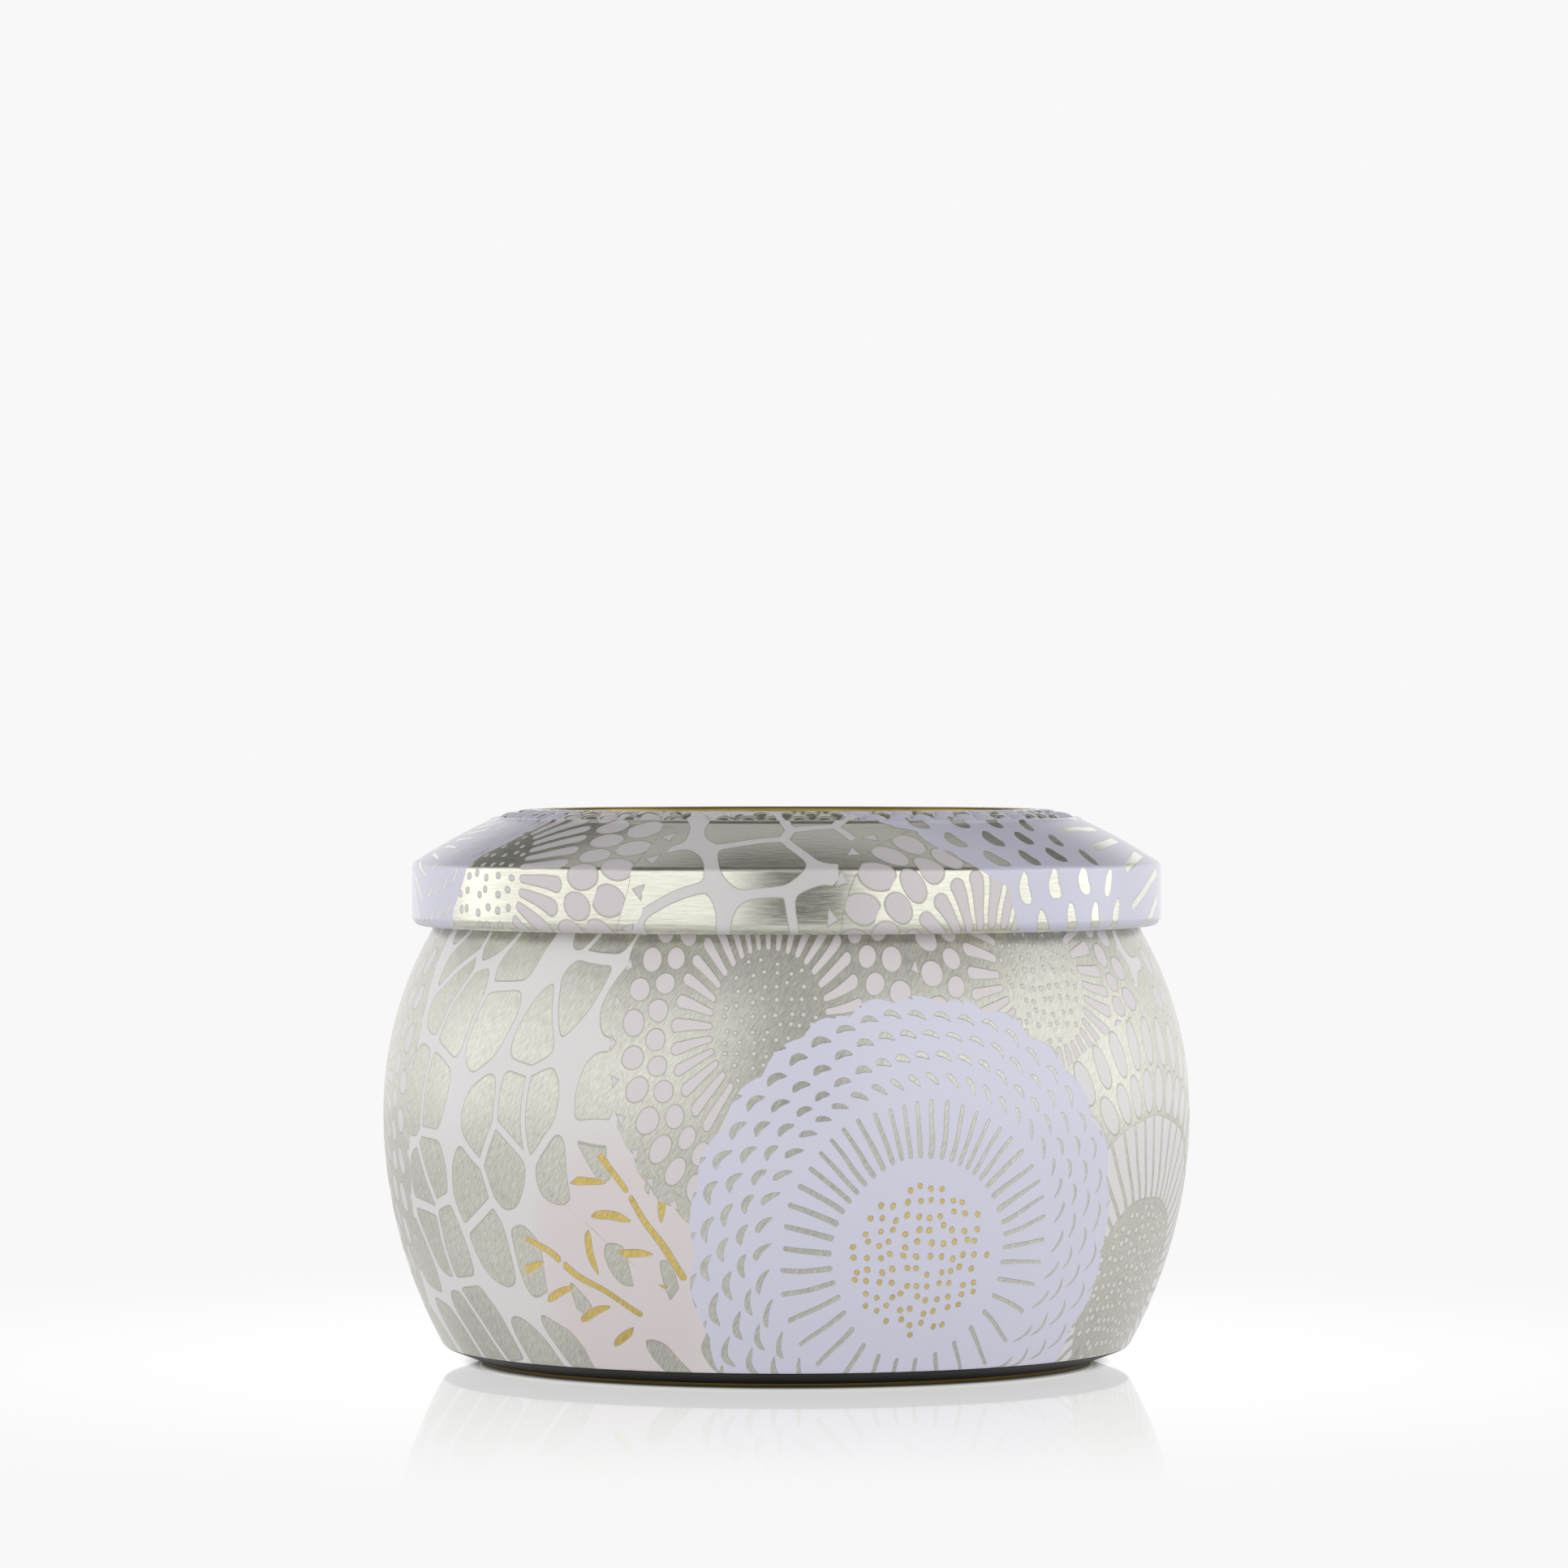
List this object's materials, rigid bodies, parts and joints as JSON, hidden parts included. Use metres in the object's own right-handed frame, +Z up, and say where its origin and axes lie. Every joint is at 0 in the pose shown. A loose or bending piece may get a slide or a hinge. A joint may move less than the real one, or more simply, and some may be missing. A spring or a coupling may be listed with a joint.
{
  "type": "candle tin",
  "caption": "Bulged round slip-lid tin with a coned embossed lid, printed floral wall and a poured single-wick candle.",
  "frame": {"origin": "middle of the underside of the foot bead, on the surface that the tin stands on", "axes": "+Z up along the tin's axis, towards the lid; -Y towards the front of the printed design; +X to its right"},
  "size_m": [0.076, 0.076, 0.052],
  "materials": {
    "printed_tin": "satin pastel floral print over brushed champagne tinplate, black enamel on the turned-in flange",
    "gold_tin": "gold lacquered tinplate",
    "compound": "matt black sealing compound",
    "label_paper": "uncoated blank paper",
    "wax": "soft translucent wax with a faint sheen",
    "wick_cotton": "braided cotton, waxed",
    "core_paper": "twisted paper cord",
    "tab_metal": "pressed tinned steel",
    "adhesive": "white adhesive foam",
    "medallion_brass": "polished brass with a turned grain"
  },
  "bodies": {
    "tin": {"body_wall": "printed_tin", "base_plate": "gold_tin", "seam_compound": "compound", "base_label": "label_paper", "wax_fill": "wax", "wick": "wick_cotton", "wick_core": "core_paper", "wick_sustainer": "tab_metal", "wick_sticker": "adhesive"},
    "lid": {"lid_shell": "printed_tin", "medallion_pad": "adhesive", "lid_medallion": "medallion_brass"}
  },
  "joints": [
    {"name": "lid_lift", "type": "slide", "parent": "tin", "child": "lid", "axis": [0, 0, 1], "range_m": [0, 0.055]}
  ]
}
